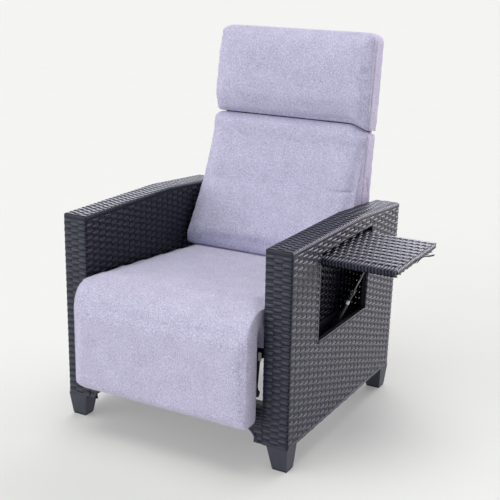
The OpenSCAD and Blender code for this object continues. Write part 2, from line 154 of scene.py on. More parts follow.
def rattan_material():
    """Flat plastic strands, a little lighter or darker each, with fine grooves and painted shade wherever low is high.
    """
    made, tree, shader = start_material("rattan", 0.36, specular=0.5)
    along = add(tree, "UVMap", {"uv_map": "strand"}).outputs["UV"]
    low = add(tree, "Attribute", {"attribute_name": "low"}).outputs["Fac"]
    island = add(tree, "NewGeometry").outputs["Random Per Island"]
    streaks = noise(tree, stretched(tree, along, (35, 1400, 1)), 1.0, 3.0, 0.6)
    tone = math_node(tree, "ADD", math_node(tree, "MULTIPLY", island, 0.4), math_node(tree, "MULTIPLY", streaks, 0.6))
    plain = ramp(tree, tone, srgb(30, 32, 45), srgb(49, 52, 68), 0.15, 0.85)
    # painted shade: the low attribute darkens the base colour and weakens the reflection
    shade = add(tree, "MapRange", Value=low, From_Min=0.45, From_Max=1.0, To_Min=1.0, To_Max=0.2).outputs["Result"]
    mixed = add(tree, "VectorMath", {"operation": "SCALE"}, Vector=plain, Scale=shade).outputs["Vector"]
    tree.links.new(mixed, shader.inputs["Base Color"])
    tree.links.new(math_node(tree, "MULTIPLY", shade, 0.5), shader.inputs["Specular IOR Level"])
    rough = add(tree, "MapRange", Value=streaks, To_Min=0.26, To_Max=0.46).outputs["Result"]
    tree.links.new(rough, shader.inputs["Roughness"])
    across = add(tree, "SeparateXYZ", Vector=along).outputs["Y"]
    grooves = math_node(tree, "SINE", math_node(tree, "MULTIPLY", across, 2 * math.pi / 0.0011))
    height = math_node(tree, "ADD", math_node(tree, "MULTIPLY", grooves, 0.35), streaks)
    set_bump(tree, shader, height, 0.00012, 0.8)
    return made


def fabric_material():
    """Heathered upholstery: light and dark lavender yarns in a fine plain weave."""
    made, tree, shader = start_material("heather", 0.9, specular=0.15)
    place = add(tree, "TexCoord").outputs["Object"]
    flecks = noise(tree, place, 300, 3.0, 0.7)
    yarns = noise(tree, stretched(tree, place, (380, 800, 190)), 1.0, 2.0, 0.6)
    broad = noise(tree, place, 22, 2.0, 0.5)
    mix = math_node(tree, "ADD", math_node(tree, "MULTIPLY", flecks, 0.60), math_node(tree, "MULTIPLY", yarns, 0.32))
    mix = math_node(tree, "ADD", mix, math_node(tree, "MULTIPLY", broad, 0.08))
    tree.links.new(ramp(tree, mix, srgb(155, 150, 174), srgb(225, 220, 240), 0.36, 0.64), shader.inputs["Base Color"])
    shader.inputs["Sheen Weight"].default_value = 0.15
    shader.inputs["Sheen Roughness"].default_value = 0.5
    threads = noise(tree, place, 1500, 1.0, 0.5)
    set_bump(tree, shader, math_node(tree, "ADD", threads, flecks), 0.0008, 0.6)
    return made


def coated_material(name, colour, light, roughness):
    """Powder coat: a fine orange-peel skin with dust-dulled patches."""
    made, tree, shader = start_material(name, roughness)
    place = add(tree, "TexCoord").outputs["Object"]
    patches = noise(tree, place, 18, 4.0, 0.6)
    tree.links.new(ramp(tree, patches, colour, light), shader.inputs["Base Color"])
    dull = add(tree, "MapRange", Value=patches, To_Min=roughness - 0.08, To_Max=roughness + 0.12).outputs["Result"]
    tree.links.new(dull, shader.inputs["Roughness"])
    set_bump(tree, shader, noise(tree, place, 900, 1.0), 0.0002, 0.5)
    return made


def steel_material():
    """Zinc-plated steel with fine drawn lines and duller patches."""
    made, tree, shader = start_material("zinc", 0.35, metallic=1.0)
    place = add(tree, "TexCoord").outputs["Object"]
    lines = noise(tree, stretched(tree, place, (900, 900, 60)), 1.0, 2.0)
    tree.links.new(ramp(tree, noise(tree, place, 60, 3.0), srgb(92, 93, 98), srgb(142, 143, 149)),
                   shader.inputs["Base Color"])
    tree.links.new(add(tree, "MapRange", Value=lines, To_Min=0.25, To_Max=0.5).outputs["Result"],
                   shader.inputs["Roughness"])
    set_bump(tree, shader, lines, 0.0001, 0.5)
    return made


def rubber_material():
    made, tree, shader = start_material("rubber", 0.75, specular=0.3)
    place = add(tree, "TexCoord").outputs["Object"]
    grain = noise(tree, place, 500, 2.0)
    tree.links.new(ramp(tree, grain, srgb(20, 20, 23), srgb(38, 38, 42)), shader.inputs["Base Color"])
    set_bump(tree, shader, grain, 0.0003, 0.6)
    return made


def webbing_material(name, dark, light, pitch=0.0016):
    """Woven tape: ribs across and along, close enough to read as a plain weave."""
    made, tree, shader = start_material(name, 0.8, specular=0.25)
    place = add(tree, "SeparateXYZ", Vector=add(tree, "TexCoord").outputs["Object"])
    turn = 2 * math.pi / pitch
    ribs = [math_node(tree, "SINE", math_node(tree, "MULTIPLY", place.outputs[axis], turn)) for axis in "XYZ"]
    height = math_node(tree, "MULTIPLY", ribs[0], math_node(tree, "ADD", ribs[1], ribs[2]))
    tree.links.new(ramp(tree, math_node(tree, "MULTIPLY_ADD", height, 0.25), dark, light, 0.0, 1.0),
                   shader.inputs["Base Color"])
    set_bump(tree, shader, height, 0.0003, 0.5)
    return made


def board_material():
    """Dark stained plywood with long grain."""
    made, tree, shader = start_material("board", 0.6)
    place = add(tree, "TexCoord").outputs["Object"]
    grain = noise(tree, stretched(tree, place, (6, 260, 260)), 1.0, 5.0, 0.6)
    tree.links.new(ramp(tree, grain, srgb(34, 29, 27), srgb(78, 68, 62)), shader.inputs["Base Color"])
    set_bump(tree, shader, grain, 0.0004, 0.6)
    return made


def floor_material():
    """A matt light table: part of its brightness is its own, so that the shadows on it stay soft and pale."""
    made, tree, shader = start_material("floor", 0.9, specular=0.0)
    place = add(tree, "TexCoord").outputs["Object"]
    tree.links.new(ramp(tree, noise(tree, place, 3.0), srgb(191, 191, 186), srgb(192, 192, 187)),
                   shader.inputs["Base Color"])
    shader.inputs["Emission Color"].default_value = (*srgb(244, 243, 240), 1)
    shader.inputs["Emission Strength"].default_value = 0.22
    return made


RATTAN = rattan_material()
FABRIC = fabric_material()
BLACK = coated_material("powder_coat", srgb(30, 31, 36), srgb(46, 47, 54), 0.45)
FOOT = coated_material("foot_plastic", srgb(44, 46, 56), srgb(60, 62, 74), 0.5)
ZINC = steel_material()
RUBBER = rubber_material()
WEBBING = webbing_material("webbing", srgb(22, 22, 26), srgb(52, 52, 58))
LABEL = webbing_material("label", srgb(226, 224, 222), srgb(250, 249, 247), 0.0009)
BOARD = board_material()


# ---- mesh helpers ----

def new_object(name, vertices, faces, material):
    mesh = bpy.data.meshes.new(name)
    mesh.from_pydata([tuple(v) for v in vertices], [], [tuple(int(i) for i in f) for f in faces])
    mesh.validate()
    mesh.update()
    mesh.polygons.foreach_set("use_smooth", [True] * len(mesh.polygons))
    made = bpy.data.objects.new(name, mesh)
    bpy.context.scene.collection.objects.link(made)
    mesh.materials.append(material)
    return made


def place(obj, body, slot, *replaced):
    """Puts a finished piece on its CAD body, in place of the named nodes."""
    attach(obj, body)
    if replaced:
        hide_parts(*replaced)


def ease(x, low, high):
    """0 below low, 1 above high and a smooth rise between them."""
    t = np.clip((x - low) / (high - low), 0, 1)
    return t * t * (3 - 2 * t)


def unit(vectors):
    return vectors / np.maximum(np.linalg.norm(vectors, axis=-1, keepdims=True), 1e-12)


# a strand's section, as (across, up) in half widths and thicknesses
SECTION = np.array([(-1, 0), (-0.78, 0.5), (0.78, 0.5), (1, 0), (0, -0.5)])


class Strips:
    """Gathers closed flat strips into one mesh, with a map that runs along and across each strip."""

    def __init__(self):
        self.points, self.faces, self.uvs, self.lows, self.count = [], [], [], [], 0

    def add(self, centres, normals, half_width, thickness, closed=False, low=0.0, down=None, flare=0.0):
        """One strand along its centres. Its edge towards down stands out by flare and the other is sunk by it."""
        n, k = len(centres), len(SECTION)
        if n < 2:
            return
        if closed:
            tangents = np.roll(centres, -1, 0) - np.roll(centres, 1, 0)
        else:
            tangents = np.gradient(centres, axis=0)
        side = unit(np.cross(tangents, normals))
        up = unit(np.cross(side, tangents))
        width = np.broadcast_to(half_width, (n,))[:, None, None]
        ring = (centres[:, None] + side[:, None] * SECTION[None, :, :1] * width
                + up[:, None] * SECTION[None, :, 1:] * thickness)
        if down is not None:
            toward = np.sign((side * down).sum(1, keepdims=True))
            ring += up[:, None] * (SECTION[:, 0] * toward * np.reshape(flare, (-1, 1)))[:, :, None]
        base = self.count
        self.points.append(ring.reshape(-1, 3))
        # each point's painted shade, kept for the low attribute
        self.lows.append(np.repeat(np.broadcast_to(low, (n,)), k))
        steps = np.linalg.norm(np.roll(centres, -1, 0) - centres, axis=1)
        length = np.concatenate([[0], np.cumsum(steps)])
        last = n if closed else n - 1
        i, j = np.meshgrid(np.arange(last), np.arange(k), indexing="ij")
        ahead, beside = (i + 1) % n, (j + 1) % k
        quads = np.stack([i * k + j, ahead * k + j, ahead * k + beside, i * k + beside], -1).reshape(-1, 4) + base
        self.faces.extend(quads.tolist())
        u0, u1 = length[i], length[i + 1]
        v0, v1 = base * 0.37 % 1 + j * 0.0018, base * 0.37 % 1 + (j + 1) * 0.0018
        self.uvs.append(np.stack([np.stack([u0, v0], -1), np.stack([u1, v0], -1),
                                  np.stack([u1, v1], -1), np.stack([u0, v1], -1)], -2).reshape(-1, 2))
        if not closed:
            for first, turn in ((base, 1), (base + (n - 1) * k, -1)):
                self.faces.append([first + m for m in range(k)][::turn])
                self.uvs.append(np.tile([[0.0, 0.0]], (k, 1)))
        self.count += n * k

    def finish(self, name, material=RATTAN):
        made = new_object(name, np.concatenate(self.points), self.faces, material)
        layer = made.data.uv_layers.new(name="strand")
        layer.data.foreach_set("uv", np.concatenate(self.uvs).astype(np.float32).ravel())
        # the painted shade goes into the attribute low
        depth = made.data.attributes.new("low", "FLOAT", "POINT")
        depth.data.foreach_set("value", np.concatenate(self.lows).astype(np.float32))
        return made


def spans(inside, count=1400):
    """The stretches of 0 to 1 where inside(parameters) is false, as (start, end)."""
    at = np.linspace(0, 1, count)
    free = ~inside(at)
    edges = np.flatnonzero(np.diff(free.astype(int)))
    cuts = [0.0, *((at[edges] + at[edges + 1]) / 2), 1.0]
    return [(a, b) for a, b in zip(cuts[:-1], cuts[1:]) if b - a > 1e-6 and free[int((a + b) / 2 * (count - 1))]]


def weave(strips, surface, rows, stakes, closed=False, flip=False, hole=None, level=None, dark=1.0, flare=FLARE,
          shaded=None):
    """Plaits strands along u, over and under stakes along v, on a surface given as surface(u, v) -> points.

    The stakes are flat and wide, so that a strand dives and rises in the short gaps between them. Where level(u, v)
    is 0 the strands lie flat, side by side. There is no weave where hole(points) is true. dark scales the painted
    shade on diving and flat strands and on the stakes; more painted shade is added where shaded(points) is true.
    """
    eps = 2e-4
    level = level or (lambda u, v: np.ones_like(u))

    # painted shade: where shaded is true a point's low is raised to at least 0.6
    def with_painted_shade(points, low):
        return low if shaded is None else np.where(shaded(points), 0.6 + 0.4 * low, low)

    def normals(u, v):
        if closed:
            du = surface((u + eps) % 1, v) - surface((u - eps) % 1, v)
        else:
            du = surface(np.minimum(u + eps, 1), v) - surface(np.maximum(u - eps, 0), v)
        dv = surface(u, np.minimum(v + eps, 1)) - surface(u, np.maximum(v - eps, 0))
        n = unit(np.cross(du, dv))
        return (-n if flip else n), -unit(dv)

    def width_at(u, v):
        step = 0.5 / rows
        return np.linalg.norm(surface(u, np.minimum(v + step, 1)) - surface(u, np.maximum(v - step, 0)), axis=1)

    for r in range(rows):
        v = (r + 0.5) / rows
        whole = [(0.0, 1.0)]
        if hole is not None:
            whole = spans(lambda t: hole(surface(t, np.full_like(t, v))))
        for a, b in whole:
            ring = closed and a == 0 and b == 1
            lattice = ((np.arange(stakes)[:, None] + BENDS).ravel() / stakes if stakes else np.linspace(0, 1, 9))
            inner = lattice[(lattice > a + 1e-4) & (lattice < b - 1e-4)]
            u = np.concatenate([[a], inner, [] if ring else [b]])
            flat = level(u, np.full_like(u, v))
            vs = np.full_like(u, v)
            phase = np.cos(math.pi * (stakes * u - 0.5 + r)) if stakes else np.zeros_like(u)
            phase = np.clip(2.0 * phase, -1, 1) * flat
            n, down = normals(u, vs)
            half = 0.5 * width_at(u, vs) * (0.91 + 0.10 * flat - 0.03 * phase)
            # painted shade on strands that dive, and on strands that lie flat, where it also dims their reflection
            low = dark * (0.40 * (1 - phase) + 0.27 * (1 - flat))
            height = RELIEF * np.where(phase > 0, phase, DIVE * phase)
            points = surface(u, vs)
            if shaded is not None:
                half = np.where(shaded(points), 1.06 * half, half)
            strips.add(points + n * height[:, None], n, half, STRAND_T, ring, with_painted_shade(points, low), down,
                       flare * np.maximum(phase, 0))
    # between two strands a stake comes out over the lower one and goes in under the upper one's lower edge
    for k in range(stakes):
        u = (k + 0.5) / stakes
        if level(np.array([u]), np.array([0.5]))[0] < 0.5:
            continue
        whole = [(0.0, 1.0)]
        if hole is not None:
            whole = spans(lambda t: hole(surface(np.full_like(t, u), t)))
        for a, b in whole:
            lattice = (np.arange(3 * rows) // 3 + np.tile([0.02, 0.5, 0.98], rows)) / rows
            v = np.concatenate([[a], lattice[(lattice > a + 1e-4) & (lattice < b - 1e-4)], [b]])
            us = np.full_like(v, u)
            row = np.clip((v * rows).astype(int), 0, rows - 1)
            behind = (k + row) % 2 == 0
            climb = v * rows - row
            share = level(us, v)
            height = RELIEF * np.where(behind, -1.0, share * (0.40 - 1.5 * climb) - 1.0 * (1 - share))
            # painted shade on the stake where it is behind a strand, and a painted shadow in a dash under the upper
            # strand's lower edge
            low = dark * share * np.where(behind, 1.0, ease(climb, 0.20, 0.70))
            n, _ = normals(us, v)
            points = surface(us, v)
            strips.add(points + n * height[:, None], n, STAKE_HALF_W, STRAND_T, False, with_painted_shade(points, low))


def rounded_rectangle(a, b, r, steps=6):
    """A closed outline about the origin, from the middle of its corner at low X and high Y, turning towards +X."""
    points = []
    for cx, cy, start in ((-a + r, b - r, 135), (a - r, b - r, 90), (a - r, -b + r, 0), (-a + r, -b + r, -90),
                          (-a + r, b - r, -180)):
        sweep = 45 if not points or start == -180 else 90
        for i in range(steps + 1):
            turn = math.radians(start - sweep * i / steps)
            points.append((cx + r * math.cos(turn), cy + r * math.sin(turn)))
    return np.array(points)


def staked_loop(a, b, r, across, deep):
    """A rounded rectangle's points by share of its stakes: across of them on each side along X, deep on each other.

    Every corner falls midway between two stakes.
    """
    outline = rounded_rectangle(a, b, r)
    steps = np.linalg.norm(np.diff(outline, axis=0), axis=1)
    at = np.concatenate([[0], np.cumsum(steps)])
    wide, tall = 2 * a - (2 - math.pi / 2) * r, 2 * b - (2 - math.pi / 2) * r
    ends = np.cumsum([0, wide, tall, wide, tall]) * at[-1] / (2 * (wide + tall))
    shares = np.cumsum([0, across, deep, across, deep]) / (2 * (across + deep))

    def point(u):
        s = np.interp(u, shares, ends)
        return np.stack([np.interp(s, at, outline[:, i]) for i in range(2)], -1)

    return point, 2 * (across + deep)


def along(outline):
    """A function from 0..1 to points at that share of an outline's length, and its whole length."""
    steps = np.linalg.norm(np.diff(outline, axis=0), axis=1)
    at = np.concatenate([[0], np.cumsum(steps)])

    def point(t):
        return np.stack([np.interp(t * at[-1], at, outline[:, i]) for i in range(outline.shape[1])], -1)

    return point, at[-1]


# ---- woven arms ----

def arm_top_at(y):
    """Height of the arm's top: flat to the crest, then falling to the rear."""
    return ARM_TOP - np.clip((y - CREST_Y) / (BACK - CREST_Y), 0, 1) * (ARM_TOP - REAR_TOP)


def lean(y, z):
    """Moves a depth on the arm's full-length outline forwards where the rear edge leans in."""
    short = RAKE * np.clip((REAR_TOP - z) / (REAR_TOP - ARM_BOTTOM), 0, 1)
    return FRONT + (y - FRONT) * (1 - short / (BACK - FRONT))


EDGE_R = 0.0055
TOP_BAND = 0.0085


def in_recess(points):
    """True where a point on the outer skin lies in the side table's recess."""
    y, z = points[:, 1], points[:, 2]
    rear = RECESS_REAR_LOW + (RECESS_REAR_HIGH - RECESS_REAR_LOW) * (z - RECESS_SILL) / (RECESS_LINTEL - RECESS_SILL)
    return ((points[:, 0] > ARM_OUT - 0.01) & (z > RECESS_SILL - 0.001) & (z < RECESS_LINTEL + 0.001)
            & (y > RECESS_FRONT - 0.001) & (y < rear + 0.001))


def woven_arm(side):
    """One arm's skin: strands round its sides, and strands across its top that turn down over the edges."""
    strips = Strips()
    mid_x, mid_y = (ARM_IN + ARM_OUT) / 2, (FRONT + BACK) / 2
    half_x, half_y = (ARM_OUT - ARM_IN) / 2 - SKIN, (BACK - FRONT) / 2 - SKIN
    loop, stakes = staked_loop(half_x, half_y, EDGE_R, 3, round(2 * half_y / STAKE))

    def sides(u, v):
        flat = loop(u)
        x, y = mid_x + flat[:, 0], mid_y + flat[:, 1]
        z = ARM_BOTTOM + v * (arm_top_at(y) - TOP_BAND + 0.003 - ARM_BOTTOM)
        return np.stack([side * x, lean(y, z), z], -1)

    rows = round((ARM_TOP - TOP_BAND - ARM_BOTTOM) / ROW)
    # painted shade on the arm's inner face behind its front edge, where its strands are also a little wider
    weave(strips, sides, rows, stakes, closed=True, flip=side > 0, hole=in_recess if side > 0 else None,
          level=lambda u, v: ease((1 - v) * rows, 0.6, 1.6),
          shaded=lambda points: (np.abs(points[:, 0]) < ARM_IN + 0.01) & (points[:, 1] > FRONT + 0.01))

    cross, over = along(np.array(
        [(-half_x, -TOP_BAND)]
        + [(-half_x + EDGE_R - EDGE_R * math.cos(t), -EDGE_R - SKIN + EDGE_R * math.sin(t))
           for t in np.linspace(0, math.pi / 2, 5)]
        + [(half_x - EDGE_R + EDGE_R * math.sin(t), -EDGE_R - SKIN + EDGE_R * math.cos(t))
           for t in np.linspace(0, math.pi / 2, 5)]
        + [(half_x, -TOP_BAND)]))
    length, deep = along(np.array(
        [(-half_y, -TOP_BAND)]
        + [(-half_y + EDGE_R - EDGE_R * math.cos(t), -EDGE_R + EDGE_R * math.sin(t))
           for t in np.linspace(0, math.pi / 2, 5)]
        + [(half_y - EDGE_R + EDGE_R * math.sin(t), -EDGE_R + EDGE_R * math.cos(t))
           for t in np.linspace(0, math.pi / 2, 5)]
        + [(half_y, -TOP_BAND)]))

    drop = TOP_BAND - EDGE_R * (1 - math.pi / 4)

    def top(u, v):
        s = np.interp(u, [0, 0.2, 0.8, 1], [0, drop, over - drop, over])
        x_drop, y_drop = cross(s / over), length(v)
        x, y = x_drop[:, 0], y_drop[:, 0]
        dx, dy = np.maximum(np.abs(x) - half_x + EDGE_R, 0), np.maximum(np.abs(y) - half_y + EDGE_R, 0)
        reach = np.hypot(dx, dy)
        pull = np.where(reach > EDGE_R, EDGE_R / np.maximum(reach, 1e-9), 1.0)
        x = np.sign(x) * (np.abs(x) - dx * (1 - pull))
        y = mid_y + np.sign(y) * (np.abs(y) - dy * (1 - pull))
        z = arm_top_at(y) + np.minimum(x_drop[:, 1], 0) + np.minimum(y_drop[:, 1], 0)
        return np.stack([side * (mid_x + x), lean(y, z), z], -1)

    weave(strips, top, round(deep / ROW), 5, flip=side < 0,
          level=lambda u, v: ease(0.5 - np.abs(u - 0.5), 0.17, 0.23) * ease(0.5 - np.abs(v - 0.5), 0.012, 0.026),
          flare=0.0)
    rim_band(strips, sides)
    if side > 0:
        recess_rims(strips)
    return strips.finish("woven_arm_right" if side > 0 else "woven_arm_left")


def rim_band(strips, surface):
    """A plain strand that runs round the skin's lower edge."""
    u = np.linspace(0, 1, 241)[:-1]
    low, high = surface(u, np.zeros_like(u)), surface(u, np.full_like(u, 0.02))
    outward = unit(np.cross(np.roll(low, -1, 0) - np.roll(low, 1, 0), high - low))
    middle = low.mean(0)
    outward *= np.sign(((low - middle) * outward).sum(1, keepdims=True))
    strips.add(low + np.array([0, 0, 0.004]) + outward * 0.0008, outward, 0.0034, 0.0018, closed=True)


def recess_rims(strips):
    """Strands wrapped round the recess's edges."""
    x = ARM_OUT - SKIN
    corners = [(RECESS_FRONT, RECESS_SILL), (RECESS_FRONT, RECESS_LINTEL),
               (RECESS_REAR_HIGH, RECESS_LINTEL), (RECESS_REAR_LOW, RECESS_SILL)]
    # painted shade on the rims of the recess's lintel, rear edge and sill; none on its front edge
    for low, (y0, z0), (y1, z1) in zip((0.0, 0.8, 0.6, 0.8), corners, corners[1:] + corners[:1]):
        t = np.linspace(0, 1, 25)[:, None]
        line = np.array([[x, y0, z0]]) + t * np.array([[0, y1 - y0, z1 - z0]])
        outward = np.tile([[1.0, 0, 0]], (25, 1))
        strips.add(line + np.array([[0.0004, 0, 0]]), outward, 0.0036, 0.0026, low=low)


# ---- woven side table, back sleeve and apron ----

def woven_tray():
    """The side table's skin: strands along it, over both ends, and short strands wrapped over its long edges."""
    strips = Strips()
    mid_y, mid_z = (tray_lo.y + tray_hi.y) / 2, (tray_lo.z + tray_hi.z) / 2
    half_y, half_z = (tray_hi.y - tray_lo.y) / 2 - SKIN, (tray_hi.z - tray_lo.z) / 2 - SKIN
    round_r = half_z * 0.98
    corner = 0.014
    x0, x1 = tray_lo.x + 0.006, tray_hi.x - 0.006
    loop, stakes = staked_loop(half_z, half_y, round_r, 1, round(2 * half_y / STAKE))
    strut_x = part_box("strut_bracket_tray")
    slot_lo, slot_hi = strut_x[0].x - 0.033, strut_x[1].x + 0.001
    slot_y = (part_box("strut_latch")[0].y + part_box("strut_latch")[1].y) / 2

    def skin(u, v):
        flat = loop(u)
        x = x0 + v * (x1 - x0)
        into = np.maximum(x - (tray_hi.x - corner), 0)
        shorter = corner - np.sqrt(np.maximum(corner ** 2 - into ** 2, 0))
        y = flat[:, 1] * (1 - shorter / half_y)
        return np.stack([x, mid_y + y, mid_z + flat[:, 0]], -1)

    def slot(points):
        return ((points[:, 2] < mid_z) & (points[:, 0] > slot_lo) & (points[:, 0] < slot_hi)
                & (np.abs(points[:, 1] - slot_y) < 0.006))

    def level(u, v):
        return ease(np.minimum((u * stakes) % (stakes / 2), (-u * stakes) % (stakes / 2)), 0.9, 1.3)

    # the side table's weave gets less painted shade
    weave(strips, skin, round((x1 - x0) / ROW), stakes, closed=True, flip=True, hole=slot, level=level, dark=0.75,
          flare=0.4 * FLARE)

    outer_edge = (1, tray_hi.x - 0.013, tray_hi.x - SKIN)
    hinge_edge = (-1, tray_lo.x + 0.010, tray_lo.x + SKIN)
    for edge, x_in, x_out in (outer_edge, hinge_edge):
        bend = [(x_in, half_z)]
        for t in np.linspace(90, -90, 9):
            turn = math.radians(t)
            bend.append((x_out - edge * round_r * (1 - math.cos(turn)), round_r * math.sin(turn)))
        bend.append((x_in, -half_z))
        wrap, reach = along(np.array(bend))
        trim = corner if edge > 0 else 0.002
        y0, y1 = tray_lo.y + trim, tray_hi.y - trim

        def wrapped(u, v, wrap=wrap, y0=y0, y1=y1):
            flat = wrap(u)
            return np.stack([flat[:, 0], y0 + v * (y1 - y0), mid_z + flat[:, 1] * 1.06], -1)

        weave(strips, wrapped, round((y1 - y0) / ROW), 0, flip=edge < 0)
    return strips.finish("woven_side_table")


def from_back(points):
    """Points of the frame, from places across, in front of (minus) and up along the back."""
    x, y, z = np.asarray(points, float).T
    c, s = math.cos(BACK_LEAN), math.sin(BACK_LEAN)
    return np.stack([x, back_pivot.y + y * c + z * s, back_pivot.z - y * s + z * c], -1)


SLEEVE_HALF_W, SLEEVE_HALF_T = 0.246, 0.015
SLEEVE_LOW, SLEEVE_HIGH = 0.040, 0.705


def woven_back():
    strips = Strips()
    loop, stakes = staked_loop(SLEEVE_HALF_W - SKIN, SLEEVE_HALF_T - SKIN, 0.010, round(2 * SLEEVE_HALF_W / STAKE), 1)

    def sleeve(u, v):
        flat = loop(u)
        return from_back(np.stack([flat[:, 0], flat[:, 1], SLEEVE_LOW + v * (SLEEVE_HIGH - 0.002 - SLEEVE_LOW)], -1))

    weave(strips, sleeve, round((SLEEVE_HIGH - SLEEVE_LOW) / ROW), stakes, closed=True, flip=True)

    def cap(u, v):
        x = (u * 2 - 1) * (SLEEVE_HALF_W - SKIN)
        y = (v * 2 - 1) * (SLEEVE_HALF_T - SKIN)
        return from_back(np.stack([x, y, np.full_like(x, SLEEVE_HIGH - SKIN)], -1))

    weave(strips, cap, 3, round(2 * SLEEVE_HALF_W / STAKE))
    return strips.finish("woven_back")


def woven_apron():
    """Low panel between the arms, with a lower edge that is straight in the middle and falls to both arms."""
    strips = Strips()
    lo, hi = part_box("front_apron")
    y = (lo.y + hi.y) / 2
    arch_low, arch_rise, fall = 0.046, 0.062, 0.0384
    arch_x, arch_high = hi.x - 0.047, arch_low + arch_rise
    half = hi.x + 0.004

    def flank(x):
        return arch_low + arch_rise * np.sqrt(np.maximum(1 - ((x - arch_x) / fall) ** 2, 0))

    def panel(u, v):
        return np.stack([(u * 2 - 1) * half, np.full_like(u, y), lo.z + v * (hi.z - lo.z)], -1)

    def under_arch(points):
        x, z = np.abs(points[:, 0]), points[:, 2]
        edge = np.where(x < arch_x, arch_high, np.where(x < arch_x + fall, flank(x), 0))
        return z < edge - 0.001

    weave(strips, panel, round((hi.z - lo.z) / ROW), round(2 * half / STAKE), hole=under_arch)
    x = np.linspace(-half + 0.011, half - 0.011, 90)
    z = np.maximum(np.where(np.abs(x) < arch_x, arch_high, flank(np.abs(x))), lo.z + 0.003)
    line = np.stack([x, np.full_like(x, y), z], -1)
    strips.add(line, np.tile([[0, -1.0, 0]], (len(x), 1)), 0.004, 0.0055)
    return strips.finish("woven_apron")


place(woven_arm(-1), "base", "rattan_weave", "arm_weave_left")
place(woven_arm(1), "base", "rattan_weave", "arm_weave_right")
place(woven_apron(), "base", "rattan_weave", "front_apron")
place(woven_tray(), "tray", "rattan_weave", "tray_weave")
place(woven_back(), "backrest", "rattan_weave", "back_weave")


# ---- cushions ----

NOSE_RISE = 0.069       # the seat cushion's top over the footrest's pivot, at the front
SEAT_LOFT, BACK_LOFT = 0.010, 0.012     # the most that a cover is blown out
WIDER, BULGE = 0.006, 0.006     # how much further out each side of it is, and how much more before the arms
HOLLOW = 0.008          # how far the seat cushion's underside is raised over the lift links


def solid_from_outline(name, outline, half_width):
    """A closed solid with an outline in (y, z), made across X."""
    n = len(outline)
    vertices = [(x, y, z) for x in (-half_width, half_width) for y, z in outline]
    faces = [list(range(n)), [n + i for i in reversed(range(n))]]
    faces += [[(i + 1) % n, i, n + i, n + (i + 1) % n] for i in range(n)]
    return new_object(name, vertices, faces, FABRIC)


def apply_all(obj):
    """Bakes an object's modifiers into its mesh."""
    graph = bpy.context.evaluated_depsgraph_get()
    mesh = bpy.data.meshes.new_from_object(obj.evaluated_get(graph), depsgraph=graph)
    obj.modifiers.clear()
    obj.data = mesh
    return obj


def remeshed(obj, voxel):
    change = obj.modifiers.new("remesh", "REMESH")
    change.mode, change.voxel_size, change.use_smooth_shade = "VOXEL", voxel, True
    return apply_all(obj)


def coordinates(obj):
    flat = np.zeros(len(obj.data.vertices) * 3)
    obj.data.vertices.foreach_get("co", flat)
    return flat.reshape(-1, 3)


def set_coordinates(obj, points):
    obj.data.vertices.foreach_set("co", np.asarray(points, np.float32).ravel())
    obj.data.update()


def smoothed(obj, times):
    change = obj.modifiers.new("smooth", "SMOOTH")
    change.iterations, change.factor = times, 0.5
    return apply_all(obj)


def subdivided(obj):
    change = obj.modifiers.new("subdivide", "SUBSURF")
    change.levels = change.render_levels = 1
    return apply_all(obj)


def inflated(obj, cap, pressure=4.0, frames=16):
    """Lets air pressure fill a cushion as cloth, each point rising no further than cap(points) lets it."""
    rest = coordinates(obj)
    outward = np.zeros(len(rest) * 3)
    obj.data.vertices.foreach_get("normal", outward)
    outward = outward.reshape(-1, 3)
    cloth = obj.modifiers.new("cloth", "CLOTH")
    cloth.settings.quality = 5
    cloth.settings.mass = 0.4
    cloth.settings.use_pressure = True
    cloth.settings.uniform_pressure_force = pressure
    cloth.settings.effector_weights.gravity = 0.0
    cloth.settings.tension_stiffness = cloth.settings.compression_stiffness = 18.0
    cloth.settings.bending_stiffness = 1.2
    cloth.collision_settings.use_collision = False
    cloth.collision_settings.use_self_collision = False
    cloth.point_cache.frame_start, cloth.point_cache.frame_end = 1, frames
    for at in range(1, frames + 1):
        bpy.context.scene.frame_set(at)
    graph = bpy.context.evaluated_depsgraph_get()
    moved = np.zeros(len(rest) * 3)
    obj.evaluated_get(graph).data.vertices.foreach_get("co", moved)
    obj.modifiers.remove(cloth)
    bpy.context.scene.frame_set(1)
    rise = ((moved.reshape(-1, 3) - rest) * outward).sum(1)
    limit = cap(rest)
    set_coordinates(obj, rest + outward * (limit * np.tanh(np.maximum(rise, 0) / np.maximum(limit, 1e-6)))[:, None])
    return obj


def corners_rounded(points, i, j, half, end, radius):
    """Points drawn in to a round corner where axis i nears -half or half and axis j nears end."""
    turned = points.copy()
    toward = 1.0 if end > points[:, j].mean() else -1.0
    a = np.abs(points[:, i]) - (half - radius)
    b = toward * (points[:, j] - end) + radius
    reach = np.hypot(a, b)
    beyond = (a > 0) & (b > 0) & (reach > radius)
    share = np.where(beyond, radius / np.maximum(reach, 1e-9), 1.0)
    turned[:, i] = np.where(beyond, np.sign(points[:, i]) * (half - radius + a * share), points[:, i])
    turned[:, j] = np.where(beyond, end + toward * (b * share - radius), points[:, j])
    return turned


def distance_to_path(points, path):
    """Each point's distance to a line of straight stretches."""
    best = np.full(len(points), 1e9)
    for a, b in zip(path[:-1], path[1:]):
        d = b - a
        t = np.clip(((points - a) @ d) / max(d @ d, 1e-12), 0, 1)
        best = np.minimum(best, np.linalg.norm(points - a - t[:, None] * d, axis=1))
    return best


def pressed_seam(obj, path, depth, width):
    """Draws the fabric in along a sewn line."""
    points = coordinates(obj)
    normals = np.zeros(len(points) * 3)
    obj.data.vertices.foreach_get("normal", normals)
    near = np.exp(-(distance_to_path(points, np.asarray(path)) / width) ** 2)
    set_coordinates(obj, points - normals.reshape(-1, 3) * (depth * near)[:, None])


